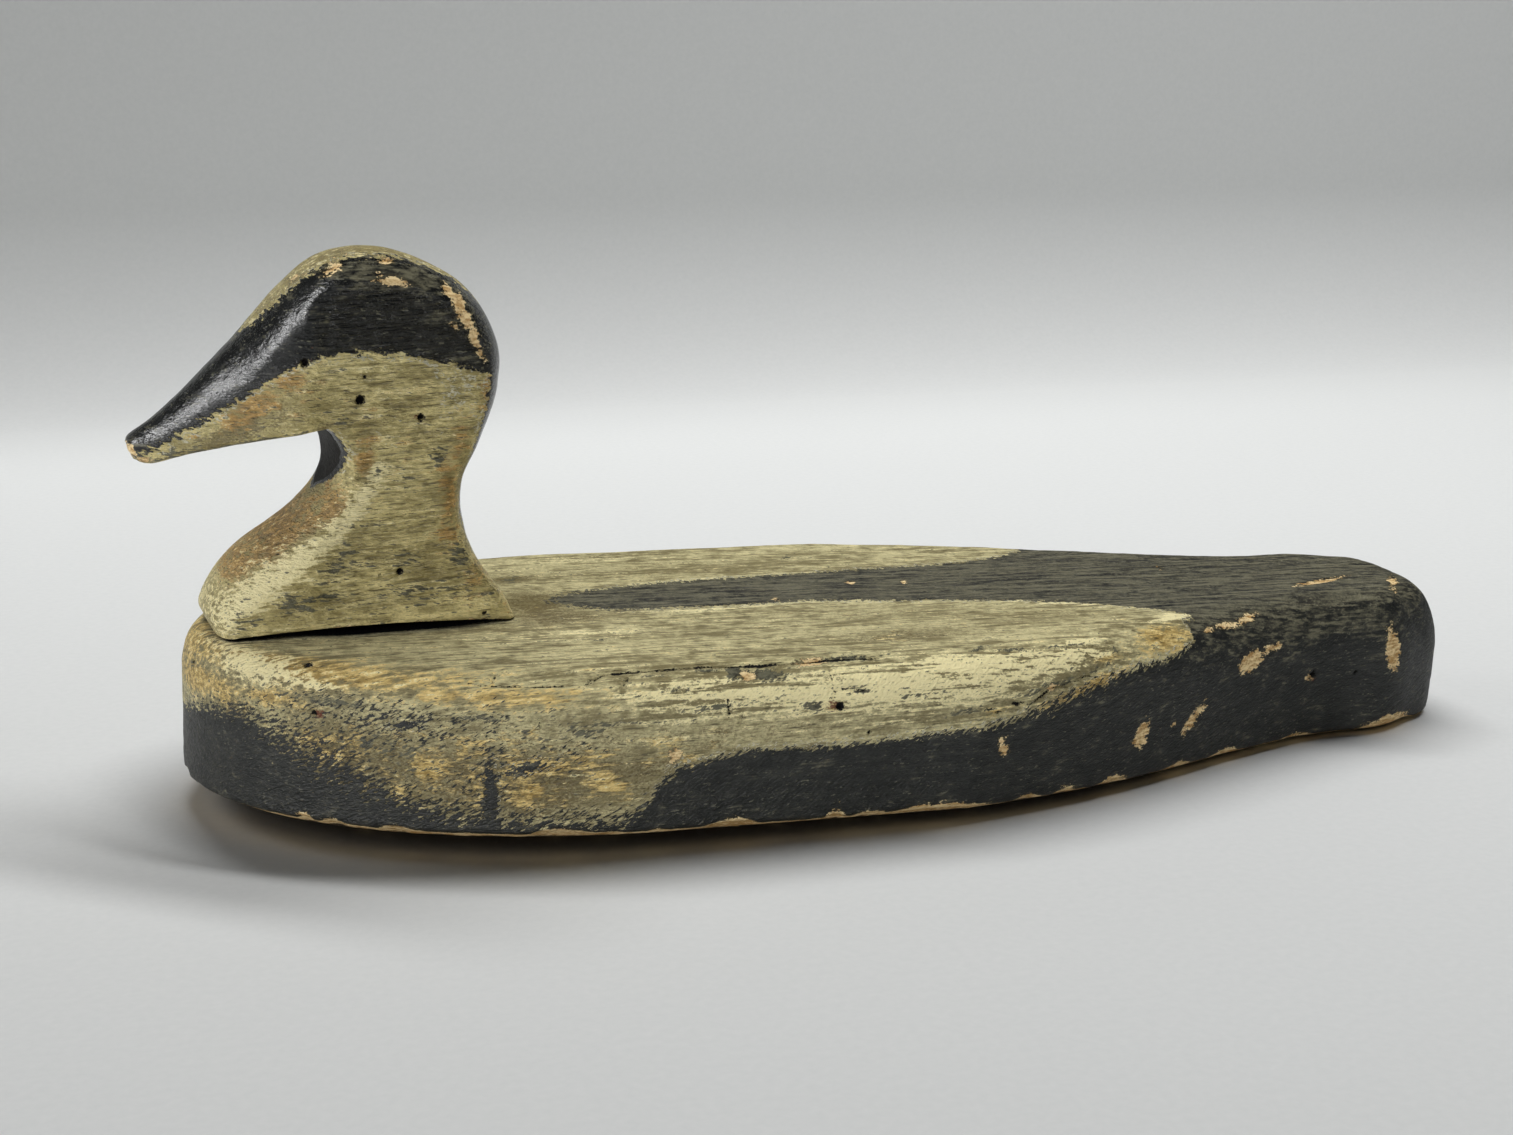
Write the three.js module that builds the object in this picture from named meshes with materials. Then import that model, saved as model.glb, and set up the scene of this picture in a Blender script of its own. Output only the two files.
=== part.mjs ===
// Slab-bodied eider drake decoy: a plank body sawn and rounded by hand, and a head sawn from a second
// board, set down on the plank just behind the bow with its bill turned a little to the bird's left.
// Millimetres, +Z up. The bill points to -X, the tail to +X, and the bird's left side faces -Y.
// The origin is on the surface the decoy stands on, under the middle of its outer box.

import * as THREE from 'three';

// Body plank
const bodyLength = 473;
const bodyThickness = 51;
const halfBeam = 96;
const bowLength = 150;
const parallelEnd = 252;

// Half widths of the plank abaft its parallel part, as [station from the bow, half width]: the sides
// draw in to a short blunt tail, whose corners are cut off before its rounded end
const taper = [
  [290, 88], [330, 75], [370, 59], [400, 48.5], [418, 45.2], [434, 45.2],
  [445, 41.5], [454, 36], [462.5, 31], [468.5, 24.5], [472, 13], [bodyLength, 0],
];

// Rounding of the top edge: how far in, and how far down, at the bow, along the sides and at the tail
const bowRound = { inward: 9, down: 14 };
const sideRound = { inward: 20, down: 18 };
const tailRound = { inward: 16, down: 27 };
const bowRoundEnd = 95;
const tailRoundStart = 425;
const tailRoundEnd = 465;

// Swell of the side walls beyond the bottom edge, and the worn lower edge itself
const bowSwell = -0.5;
const sideSwell = 1.2;
const tailSwell = 1;
const edgeWear = 1.4;

// The decoy rides bow high: the plank is inclined on a hull-like underside with a flat land below
const bowHighAngle = THREE.MathUtils.degToRad(1.25);
const tailClearance = 0.8;
const bevelAtTail = 6;
const bevelPerDepth = 3.4;

// Head board
const headYaw = THREE.MathUtils.degToRad(5.66);
const headStation = 60;
const headOffset = 1.8;
const seatGap = 0.3;
const seatArch = 1.3;
const headHalf = 23;

// Sections of the head from its seat up the neck, over the crown and out along the bill.
// front and back are the two ends of a section in the side view, [along, up] from the seat's middle.
// half is half the thickness there, and easeFront and easeBack say how the sawn corners are pared
// away: [along the section, into the thickness].
const headSections = [
  { at: 'seat', front: [-50, 0], back: [51, 0], half: headHalf, easeFront: [5, 12], easeBack: [4, 7] },
  { at: 'foot', front: [-52.6, 8], back: [47.8, 8], half: headHalf, easeFront: [10.5, 19], easeBack: [5, 11] },
  { at: 'breast', front: [-44, 23.5], back: [38.6, 22.5], half: headHalf, easeFront: [26, 22], easeBack: [8, 15] },
  { at: 'slope', front: [-23.6, 37.8], back: [34.8, 36], half: headHalf, easeFront: [20, 21.5], easeBack: [9, 17] },
  { at: 'neck', front: [-12.4, 49.8], back: [35.6, 48.5], half: 22.6, easeFront: [13, 20.5], easeBack: [10, 18] },
  { at: 'neck top', front: [-10.6, 60], back: [41.3, 61], half: 22.6, easeFront: [7, 19], easeBack: [10, 18] },
  { at: 'throat', front: [-13, 67.8], back: [48.1, 79.5], half: headHalf, easeFront: [4, 9], easeBack: [12, 19] },
  { at: 'nape', front: [-15.6, 68], back: [47.8, 96], half: headHalf, easeFront: [3, 4], easeBack: [13, 21] },
  { at: 'crown back', front: [-17.2, 67.6], back: [36, 114.3], half: headHalf, easeFront: [3, 4], easeBack: [15, 22.4] },
  { at: 'crown', front: [-19.8, 67], back: [13, 125.1], half: headHalf, easeFront: [3, 4], easeBack: [16, 22.4] },
  { at: 'brow', front: [-24.5, 66], back: [-8, 124.3], half: 22.8, easeFront: [3, 4], easeBack: [17, 22] },
  { at: 'forehead', front: [-32, 64.5], back: [-23.6, 114.2], half: 20.5, easeFront: [3, 4], easeBack: [19, 19.8] },
  { at: 'bill root', front: [-44, 62.2], back: [-39.2, 97.2], half: 16, easeFront: [3, 4], easeBack: [19, 15.3] },
  { at: 'bill middle', front: [-56, 59.6], back: [-54, 82.6], half: 12, easeFront: [3, 3.5], easeBack: [13, 11.3] },
  { at: 'bill end', front: [-67, 56.6], back: [-67, 70.8], half: 8.5, easeFront: [3, 3], easeBack: [8.5, 7.9] },
  { at: 'tip', front: [-72.4, 57.2], back: [-73.8, 65.8], half: 5.6, easeFront: [2.6, 4], easeBack: [3.4, 5] },
  { at: 'tip end', front: [-74.6, 59.8], back: [-75.2, 63.6], half: 2.6, easeFront: [1.2, 2], easeBack: [1.3, 2.2] },
];

// How finely the surfaces are divided
const planSteps = 58;
const sideSteps = 3;
const roundSteps = 5;
const bevelSteps = 3;
const headSteps = 48;
const cornerSteps = 5;
const cheekSteps = 3;

function smooth(from, to, value) {
  return THREE.MathUtils.smoothstep(value, from, to);
}

// A closed skin over a stack of rings. Each ring is symmetric: point i mirrors point count - i, so the
// two ends are filled like a ladder, with rungs from one side to the other.
function skinRings(rings) {
  const count = rings[0].length;
  const half = count / 2;
  const index = [];
  const face = (a, b, c) => {
    if (a !== b && b !== c && c !== a) index.push(a, b, c);
  };
  for (let ring = 0; ring < rings.length - 1; ring++) {
    for (let i = 0; i < count; i++) {
      const low = ring * count;
      const high = low + count;
      const next = (i + 1) % count;
      face(low + i, low + next, high + next);
      face(low + i, high + next, high + i);
    }
  }
  const last = (rings.length - 1) * count;
  for (let i = 0; i < half; i++) {
    const across = (count - i) % count;
    const acrossNext = count - i - 1;
    face(last + i, last + i + 1, last + acrossNext);
    face(last + i, last + acrossNext, last + across);
    face(i, acrossNext, i + 1);
    face(i, across, acrossNext);
  }
  const geometry = new THREE.BufferGeometry();
  geometry.setAttribute('position', new THREE.Float32BufferAttribute(rings.flat().flatMap((p) => p.toArray()), 3));
  geometry.setIndex(index);
  geometry.computeVertexNormals();
  return geometry;
}

// Half of the plank's outline seen from above, from the tip of the bow to the middle of the tail
function planPoints() {
  const plan = new THREE.Path();
  plan.absellipse(bowLength, 0, bowLength, halfBeam, Math.PI, Math.PI / 2, true);
  plan.lineTo(parallelEnd, halfBeam);
  plan.splineThru(taper.map(([x, y]) => new THREE.Vector2(x, y)));
  const points = plan.getSpacedPoints(planSteps);
  points[0].set(0, 0);
  points[planSteps].set(bodyLength, 0);
  return points;
}

// Points with their outward directions, round the whole outline: along the near side, then back
function planLoop() {
  const half = planPoints();
  const loop = [];
  for (let i = 0; i < 2 * planSteps; i++) {
    const mirrored = i > planSteps;
    const at = mirrored ? 2 * planSteps - i : i;
    const before = half[Math.max(at - 1, 0)];
    const after = half[Math.min(at + 1, planSteps)];
    const outward = new THREE.Vector2(before.y - after.y, after.x - before.x).normalize();
    if (at === 0) outward.set(-1, 0);
    if (at === planSteps) outward.set(1, 0);
    const side = mirrored ? 1 : -1;
    loop.push({ x: half[at].x, y: side * half[at].y, outX: outward.x, outY: side * outward.y });
  }
  return loop;
}

// Depth of the underside's flat land below the plank's bottom edge, level once the plank is inclined
function landDepth(x) {
  return (bodyLength - x) * Math.tan(bowHighAngle) + tailClearance;
}

function bodyGeometry() {
  const loop = planLoop();
  const ring = (place) => loop.map((p) => {
    const { inward, z } = place(p);
    const x = p.x - p.outX * inward;
    return new THREE.Vector3(x, p.y - p.outY * inward, z === undefined ? -landDepth(x) : z);
  });
  const bevelWidth = (p) => bevelAtTail + bevelPerDepth * landDepth(p.x);
  const roundAt = (p, key) => {
    const front = THREE.MathUtils.lerp(bowRound[key], sideRound[key], smooth(0, bowRoundEnd, p.x));
    return THREE.MathUtils.lerp(front, tailRound[key], smooth(tailRoundStart, tailRoundEnd, p.x));
  };
  const swellAt = (p) => {
    const front = THREE.MathUtils.lerp(bowSwell, sideSwell, smooth(0, bowRoundEnd, p.x));
    return THREE.MathUtils.lerp(front, tailSwell, smooth(tailRoundStart, tailRoundEnd, p.x));
  };

  const rings = [ring((p) => ({ inward: bevelWidth(p) }))];
  for (let step = 1; step < bevelSteps; step++) {
    const toLand = 1 - step / bevelSteps;
    rings.push(ring((p) => ({
      inward: bevelWidth(p) * toLand,
      z: -landDepth(p.x) * (1 - (1 - toLand) ** 2),
    })));
  }
  rings.push(ring(() => ({ inward: edgeWear, z: 0 })));
  for (let step = 0; step < sideSteps; step++) {
    const up = step / sideSteps;
    rings.push(ring((p) => ({
      inward: -swellAt(p) * Math.sin(up * Math.PI / 2),
      z: edgeWear + up * (bodyThickness - roundAt(p, 'down') - edgeWear),
    })));
  }
  for (let step = 0; step <= roundSteps; step++) {
    const turn = step / roundSteps * Math.PI / 2;
    rings.push(ring((p) => ({
      inward: roundAt(p, 'inward') * (1 - Math.cos(turn)) - swellAt(p),
      z: bodyThickness - roundAt(p, 'down') * (1 - Math.sin(turn)),
    })));
  }
  return skinRings(rings);
}

// A smooth curve through one value of every head section
function sectionCurve(read) {
  return new THREE.CatmullRomCurve3(headSections.map((s) => new THREE.Vector3(...read(s))), false, 'catmullrom', 0.5);
}

const frontCurve = sectionCurve((s) => [...s.front, s.half]);
const backCurve = sectionCurve((s) => [...s.back, 0]);
const frontEase = sectionCurve((s) => [...s.easeFront, 0]);
const backEase = sectionCurve((s) => [...s.easeBack, 0]);

// Half of a section's outline, from the middle of its front to the middle of its back, as pairs of
// distance along the section and half thickness
function halfSection(length, half, front, back) {
  const points = [[0, 0]];
  for (let step = 0; step <= cornerSteps; step++) {
    const turn = step / cornerSteps * Math.PI / 2;
    points.push([front.x * (1 - Math.cos(turn)), half - front.y * (1 - Math.sin(turn))]);
  }
  for (let step = 1; step < cheekSteps; step++) {
    points.push([THREE.MathUtils.lerp(front.x, length - back.x, step / cheekSteps), half]);
  }
  for (let step = 0; step <= cornerSteps; step++) {
    const turn = step / cornerSteps * Math.PI / 2;
    points.push([length - back.x * (1 - Math.sin(turn)), half - back.y * (1 - Math.cos(turn))]);
  }
  points.push([length, 0]);
  return points;
}

function headGeometry() {
  const rings = [];
  for (let step = 0; step <= headSteps; step++) {
    const t = step / headSteps;
    const front = frontCurve.getPoint(t);
    const back = backCurve.getPoint(t);
    const half = front.z;
    back.z = 0;
    front.z = 0;
    const length = front.distanceTo(back);
    const across = back.clone().sub(front).normalize();
    const archHere = seatArch * Math.max(0, 1 - t * (headSections.length - 1));
    const outline = halfSection(length, half, frontEase.getPoint(t), backEase.getPoint(t));
    const place = ([along, thick], side) => {
      const share = along / length;
      const up = front.y + across.y * along + archHere * 4 * share * (1 - share);
      return new THREE.Vector3(front.x + across.x * along, side * thick, up);
    };
    const near = outline.map((p) => place(p, -1));
    const far = outline.slice(1, -1).reverse().map((p) => place(p, 1));
    rings.push([...near, ...far]);
  }
  return skinRings(rings);
}

const bodyPaint = new THREE.MeshStandardMaterial({ color: 0x55513f, roughness: 0.7, metalness: 0 });
const headPaint = new THREE.MeshStandardMaterial({ color: 0x7b7359, roughness: 0.65, metalness: 0 });

const body = new THREE.Mesh(bodyGeometry(), bodyPaint);
body.name = 'body';

const head = new THREE.Mesh(headGeometry(), headPaint);
head.name = 'head';
head.rotation.z = headYaw;
head.position.set(headStation, headOffset, bodyThickness + seatGap);

// The plank and the head on it, inclined together about the plank's lower edge at the tail
const inclined = new THREE.Group();
inclined.add(body, head);
inclined.rotation.y = bowHighAngle;

const decoy = new THREE.Group();
decoy.add(inclined);
const box = new THREE.Box3().setFromObject(decoy, true);
inclined.position.set(-(box.min.x + box.max.x) / 2, -(box.min.y + box.max.y) / 2, -box.min.z);

export default decoy;
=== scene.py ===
"""An old eider drake decoy: a plank body and a sawn head, both worn down through several coats of paint."""

import itertools
import math

import bpy
import numpy as np
from mathutils import Matrix, Vector


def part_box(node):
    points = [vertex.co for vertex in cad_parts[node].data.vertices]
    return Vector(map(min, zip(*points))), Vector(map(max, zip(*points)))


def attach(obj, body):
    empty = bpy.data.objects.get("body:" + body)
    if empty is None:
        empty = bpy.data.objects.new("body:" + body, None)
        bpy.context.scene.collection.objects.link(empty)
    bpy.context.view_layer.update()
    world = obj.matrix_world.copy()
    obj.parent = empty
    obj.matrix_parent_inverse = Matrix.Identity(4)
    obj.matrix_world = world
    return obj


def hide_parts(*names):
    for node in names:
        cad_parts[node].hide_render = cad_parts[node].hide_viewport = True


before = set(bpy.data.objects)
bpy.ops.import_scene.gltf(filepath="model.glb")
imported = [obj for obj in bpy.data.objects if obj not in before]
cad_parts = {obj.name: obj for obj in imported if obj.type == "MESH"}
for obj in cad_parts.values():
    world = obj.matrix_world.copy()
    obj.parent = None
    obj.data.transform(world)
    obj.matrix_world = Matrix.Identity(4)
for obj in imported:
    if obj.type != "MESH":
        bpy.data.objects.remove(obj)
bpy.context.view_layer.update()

# Where the plank lies and where the camera stands
# The decoy rides bow high, so its plank is inclined a little over the table. Everything is measured on
# the plank in millimetres: from the tip of the bow, from the centreline, and up from its lower edge.

plank_length = 473.0
plank_thickness = 51.0
half_beam = 96.0
bow_high = math.radians(1.25)
tail_clearance = 0.8
tail_swell = 1.0
tail_round = (16.0, 27.0)
millimetre = 0.001

lean_cos, lean_sin = math.cos(bow_high), math.sin(bow_high)
tail_reach = (plank_length + tail_swell) * lean_cos + (plank_thickness - tail_round[1]) * lean_sin
plank_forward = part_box("body")[1].x / millimetre - tail_reach
plank_lift = plank_length * lean_sin + tail_clearance * lean_cos


def incline(vectors):
    """Directions on the plank turned into the part's own frame."""
    x, y, z = np.moveaxis(vectors, -1, 0)
    return np.stack([x * lean_cos + z * lean_sin, y, z * lean_cos - x * lean_sin], -1)


def stand(points):
    """Points measured on the plank in millimetres, as metres in the part's own frame."""
    return (incline(points) + (plank_forward, 0, plank_lift)) * millimetre


camera_turn = math.radians(-16.633)
camera_dip = math.radians(13.525)
camera_roll = math.radians(1.537)
camera_distance = 1082.65
camera_aim = (276.13, 246.5, 0)
picture_width = 1513
focal_length_in_pixels = 2274
sensor_width = 36.0
nearest_seen = 0.05

ahead = np.array([
    -math.sin(camera_turn) * math.cos(camera_dip),
    math.cos(camera_turn) * math.cos(camera_dip),
    -math.sin(camera_dip),
])
level_right = np.array([math.cos(camera_turn), math.sin(camera_turn), 0])
level_up = np.cross(level_right, ahead)
right = level_right * math.cos(camera_roll) + level_up * math.sin(camera_roll)
upward = level_up * math.cos(camera_roll) - level_right * math.sin(camera_roll)
axes = incline([right, upward, -ahead])
viewpoint = stand(np.array(camera_aim) - ahead * camera_distance)


def put_in_scene(name, data):
    """A new object of this mesh, lamp or camera."""
    made = bpy.data.objects.new(name, data)
    bpy.context.scene.collection.objects.link(made)
    return made


camera = put_in_scene("camera", bpy.data.cameras.new("camera"))
camera.data.sensor_width = sensor_width
camera.data.lens = sensor_width * focal_length_in_pixels / picture_width
camera.data.clip_start = nearest_seen
camera.matrix_world = Matrix.Translation(viewpoint) @ Matrix(axes.T.tolist()).to_4x4()
bpy.context.scene.camera = camera


# Table and studio light
# Pale grey paper lies flat under the decoy and turns up behind it. Of the seven soft lamps, one overhead and
# one behind light everything, three light the two pieces alone, so that the shadow on the paper stays deep,
# and two give only the shine on the bill and the cap.

paper_half_width = 2.4
paper_front = -1.6
paper_bend = 0.72
paper_radius = 0.13
paper_height = 0.6
paper_steps = 24
paper_fibre = (3, 3, 3)
paper_roughness = 0.9
room_colour = (0.97, 0.98, 1.0, 1.0)
room_strength = 0.01


def shade(code):
    """The linear colour of a paint chip given as six hexadecimal digits."""
    parts = [c / 255 for c in bytes.fromhex(code)]
    linear = [c / 12.92 if c <= 0.04045 else ((c + 0.055) / 1.055) ** 2.4 for c in parts]
    return (*linear, 1.0)


def feed(tree, socket, value):
    """Gives an input socket its value, or links it to another node's socket."""
    if isinstance(value, bpy.types.NodeSocket):
        tree.links.new(value, socket)
    else:
        socket.default_value = value


def add(tree, kind, links=None, **settings):
    """A new node with these settings. links gives its inputs, each a value or another node's socket."""
    made = tree.nodes.new("ShaderNode" + kind)
    for name, value in settings.items():
        setattr(made, name, value)
    for name, value in (links or {}).items():
        feed(tree, made.inputs[name], value)
    return made


def new_paint(name):
    """A material with only a principled surface in it, and its tree."""
    material = bpy.data.materials.new(name)
    material.use_nodes = True
    tree = material.node_tree
    tree.nodes.clear()
    surface = add(tree, "BsdfPrincipled")
    add(tree, "OutputMaterial", {"Surface": surface.outputs["BSDF"]})
    return material, tree, surface


def speckle(tree, size, lean=0.0, detail=2.0, roughness=0.55):
    """Random cloud from 0 to 1, whose lumps have this size in millimetres along x, y and z. lean tips it."""
    spot = add(tree, "TexCoord").outputs["Object"]
    placed = add(tree, "Mapping", {
        "Vector": spot,
        "Rotation": (0, math.radians(lean), 0),
        "Scale": tuple(s * millimetre for s in size),
    }, vector_type="TEXTURE")
    cloud = add(tree, "TexNoise", {
        "Vector": placed.outputs["Vector"],
        "Scale": 1.0,
        "Detail": detail,
        "Roughness": roughness,
    })
    return cloud.outputs["Fac"]


def calc(tree, operation, a, b=0.0, c=0.0):
    """The result of one sum on values or sockets."""
    node = add(tree, "Math", operation=operation)
    for socket, value in zip(node.inputs, (a, b, c)):
        feed(tree, socket, value)
    return node.outputs[0]


def cut(tree, value, low, high, most=1.0):
    """0 where value is under low, most where it is over high, and smooth between."""
    node = add(tree, "MapRange", {
        "Value": value, "From Min": low, "From Max": high, "To Max": most,
    }, interpolation_type="SMOOTHSTEP")
    return node.outputs["Result"]


def coat(tree, share, under, over):
    """The colour over laid on the colour under, where share says."""
    node = add(tree, "Mix", data_type="RGBA")
    sockets = {socket.identifier: socket for socket in node.inputs}
    for name, value in (("Factor_Float", share), ("A_Color", under), ("B_Color", over)):
        feed(tree, sockets[name], value)
    return next(socket for socket in node.outputs if socket.identifier == "Result_Color")


paper_profile = [(paper_front, 0.0)]
for turn in np.linspace(0, math.pi / 2, paper_steps + 1):
    paper_profile.append((paper_bend + paper_radius * math.sin(turn), paper_radius * (1 - math.cos(turn))))
paper_profile.append((paper_bend + paper_radius, paper_height))
paper_points = [(side * paper_half_width, y, z) for y, z in paper_profile for side in (-1, 1)]
paper_faces = [(2 * i, 2 * i + 1, 2 * i + 3, 2 * i + 2) for i in range(len(paper_profile) - 1)]
paper_mesh = bpy.data.meshes.new("paper")
paper_mesh.from_pydata(paper_points, [], paper_faces)
paper_mesh.shade_smooth()
paper = put_in_scene("paper", paper_mesh)
paper_coat, tree, surface = new_paint("pale_paper")
fibre = speckle(tree, paper_fibre, detail=4)
feed(tree, surface.inputs["Base Color"], coat(tree, fibre, shade("dee0df"), shade("e8e9e8")))
surface.inputs["Roughness"].default_value = paper_roughness
paper_mesh.materials.append(paper_coat)


# The pieces that the fill lamps light
lit_pieces = bpy.data.collections.new("decoy_pieces")


def hang_lamp(name, place, aim, size, power, shines=False, fills=False):
    """A soft lamp, in metres and watts. One that shines gives highlights and nothing else, and the others
    give none. One that fills lights the two pieces alone."""
    lamp = bpy.data.lights.new(name, "AREA")
    lamp.shape = "RECTANGLE"
    lamp.size, lamp.size_y = size
    lamp.energy = power
    held = put_in_scene(name, lamp)
    held.location = place
    held.rotation_euler = (Vector(aim) - Vector(place)).to_track_quat("-Z", "Y").to_euler()
    held.visible_camera = False
    held.visible_diffuse = not shines
    held.visible_glossy = shines
    if fills:
        held.light_linking.receiver_collection = lit_pieces


table_middle = (0.0, 0.0, 0.0)
breast = (-0.1, 0.0, 0.08)
bill = (-0.2, 0.0, 0.14)
hang_lamp("overhead_lamp", (0.45, 0.58, 1.75), table_middle, (2.4, 0.22), 39)
hang_lamp("rear_lamp", (-1.05, 0.5, 0.85), (-0.1, 0.0, 0.05), (0.5, 0.5), 1.8)
hang_lamp("front_strip", (-0.6, -1.0, 0.045), (0.0, 0.0, 0.045), (0.8, 0.07), 5, fills=True)
hang_lamp("key_lamp", (-0.95, -0.75, 1.2), breast, (0.4, 0.4), 4.5, fills=True)
hang_lamp("bow_strip", (-2.1, -0.1, 0.1), (0.0, 0.0, 0.1), (1.4, 0.16), 6, fills=True)
hang_lamp("bill_lamp", (-1.26, -0.59, 0.93), bill, (0.45, 0.75), 20, shines=True)
hang_lamp("cap_lamp", (-0.75, -1.03, 0.47), bill, (0.25, 0.25), 1.5, shines=True)

room = bpy.data.worlds.new("room")
room.use_nodes = True
room_light = room.node_tree.nodes["Background"]
room_light.inputs["Color"].default_value = room_colour
room_light.inputs["Strength"].default_value = room_strength
bpy.context.scene.world = room
bpy.context.scene.view_settings.view_transform = "Standard"


# Body plank
# One thick softwood plank, sawn to a full bow and a drawn-in tail, its upper edge rounded by hand and
# its underside pared to a shallow hull. Cream, ochre and black coats lie over each other and have worn.

bow_length = 150.0
parallel_end = 252.0
taper = [
    (290, 88), (330, 75), (370, 59), (400, 48.5), (418, 45.2), (434, 45.2), (445, 41.5), (454, 36),
    (462.5, 31), (468.5, 24.5), (472, 13), (plank_length, 0),
]
bow_round = (9.0, 14.0)
side_round = (20.0, 18.0)
bow_round_end = 95.0
tail_round_start, tail_round_end = 425.0, 465.0
bow_swell, side_swell = -0.5, 1.2
edge_wear = 1.4
bevel_at_tail, bevel_per_depth = 6.0, 3.4
spine = (70.0, 425.0)

bow_samples, taper_samples = 600, 1500
body_half_steps = 400
outward_reach = 7
under_steps, bevel_steps, side_steps, round_steps, top_steps = 6, 5, 26, 24, 55
nearly_closed = 0.985


def ease(low, high, value):
    """0 up to low, 1 from high on, and smooth between."""
    t = np.clip((value - low) / (high - low), 0, 1)
    return t * t * (3 - 2 * t)


def between(a, b, share):
    """The value this share of the way from a to b."""
    return a + (b - a) * share


def curve_through(points, at, ends):
    """Points on the smooth curve through these points, where at counts them. Past the ends the end points
    repeat, or the curve runs on straight."""
    points = np.asarray(points, float)
    if ends == "repeat":
        before, after = points[0], points[-1]
    else:
        before, after = 2 * points[0] - points[1], 2 * points[-1] - points[-2]
    held = np.vstack([before, points, after])
    start = np.minimum(np.floor(at).astype(int), len(points) - 2)
    t = (at - start)[:, None]
    p0, p1, p2, p3 = held[start], held[start + 1], held[start + 2], held[start + 3]
    leave, arrive = (p2 - p0) / 2, (p3 - p1) / 2
    bend = (2 * (p1 - p2) + leave + arrive) * t ** 3 + (3 * (p2 - p1) - 2 * leave - arrive) * t ** 2
    return bend + leave * t + p1


def grown(points):
    """Distance travelled along rows of points."""
    steps = np.linalg.norm(np.diff(points, axis=0), axis=-1)
    return np.concatenate([np.zeros((1, *steps.shape[1:])), np.cumsum(steps, 0)])


def plank_outline():
    """The plank's outline from above, down the near side and back up the far side: points, outward
    directions, and the distance from the bow along the edge, which is negative on the far side."""
    turn = np.linspace(math.pi, math.pi / 2, bow_samples)
    bow = np.stack([bow_length * (1 + np.cos(turn)), half_beam * np.sin(turn)], -1)
    stations = [(parallel_end, half_beam), *taper]
    run = curve_through(stations, np.linspace(0, len(stations) - 1, taper_samples), "repeat")
    fine = np.vstack([bow, run])
    travelled = grown(fine)
    even = np.linspace(0, travelled[-1], body_half_steps + 1)
    half = np.stack([np.interp(even, travelled, fine[:, i]) for i in (0, 1)], -1)
    half[0, 1] = half[-1, 1] = 0
    mirrored = half * (1, -1)
    held = np.vstack([mirrored[outward_reach:0:-1], half, mirrored[-2:-2 - outward_reach:-1]])
    tangent = held[2 * outward_reach:] - held[:-2 * outward_reach]
    out = np.stack([-tangent[:, 1], tangent[:, 0]], -1)
    out /= np.linalg.norm(out, axis=1)[:, None]
    far = np.stack([half, out])
    outline, outward = np.hstack([far * (1, -1), far[:, -2:0:-1]])
    return outline, outward, np.concatenate([even, -even[-2:0:-1]])


def hull_depth(x):
    """How far the underside lies below the plank's lower edge at this station."""
    return (plank_length - x) * math.tan(bow_high) + tail_clearance


def plank_rings():
    """Rings of points from the middle of the underside, round the edge and over the top, the number of the
    ring that is the plank's lower edge, and the distance along that edge."""
    outline, out, along = plank_outline()
    x = outline[:, 0]

    def varied(bow, side, tail):
        """A measure that changes from the bow to the sides and on to the tail."""
        forward = between(bow, side, ease(0, bow_round_end, x))
        return between(forward, tail, ease(tail_round_start, tail_round_end, x))

    inward = varied(bow_round[0], side_round[0], tail_round[0])
    down = varied(bow_round[1], side_round[1], tail_round[1])
    swell = varied(bow_swell, side_swell, tail_swell)
    bevel = bevel_at_tail + bevel_per_depth * hull_depth(x)

    def ring(moved_in, z=None):
        """The outline moved in this far, at this height or else on the underside."""
        points = outline - out * np.asarray(moved_in).reshape(-1, 1)
        height = -hull_depth(points[:, 0]) if z is None else z + np.zeros(len(points))
        return np.column_stack([points, height])

    def drawn_in(edge, share):
        """A ring drawn in by this share towards the middle line."""
        points = edge.copy()
        points[:, 0] = between(edge[:, 0], np.clip(edge[:, 0], *spine), share)
        points[:, 1] *= 1 - share
        return points

    land = ring(bevel)
    rings = []
    for share in np.linspace(nearly_closed, 0, under_steps + 1):
        points = drawn_in(land, share)
        points[:, 2] = -hull_depth(points[:, 0])
        rings.append(points)
    for step in range(1, bevel_steps):
        share = step / bevel_steps
        rings.append(ring(bevel * (1 - share), -hull_depth(x) * (1 - share ** 2)))
    lower_edge = len(rings)
    rings.append(ring(edge_wear, 0))
    for up in np.arange(side_steps) / side_steps:
        height = between(edge_wear, plank_thickness - down, up)
        rings.append(ring(-swell * math.sin(up * math.pi / 2), height))
    for turn in np.linspace(0, math.pi / 2, round_steps + 1):
        pared = inward * (1 - math.cos(turn)) - swell
        rings.append(ring(pared, plank_thickness - down * (1 - math.sin(turn))))
    shoulder = rings[-1]
    for share in np.linspace(0, nearly_closed, top_steps + 1)[1:]:
        rings.append(drawn_in(shoulder, share))
    return np.array(rings), lower_edge, along


def ring_normals(rings):
    """The outward direction at every point of a stack of rings."""
    normal = np.cross(np.roll(rings, -1, 1) - np.roll(rings, 1, 1), np.gradient(rings, axis=0))
    return normal / np.maximum(np.linalg.norm(normal, axis=-1, keepdims=True), 1e-9)


def lumps(points, depth, size, seed):
    """Smooth random values at these points, up to depth either way, in lumps of this size."""
    cells = 24
    lattice = np.random.default_rng(seed).uniform(-1, 1, (cells,) * 3)
    place = points / np.array(size)
    cell = np.floor(place).astype(int)
    t = place - cell
    t = t * t * (3 - 2 * t)
    total = np.zeros(place.shape[:-1])
    for corner in itertools.product((0, 1), repeat=3):
        weight = np.prod(np.where(corner, t, 1 - t), -1)
        i, j, k = np.moveaxis((cell + corner) % cells, -1, 0)
        total += weight * lattice[i, j, k]
    return depth * total


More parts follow.
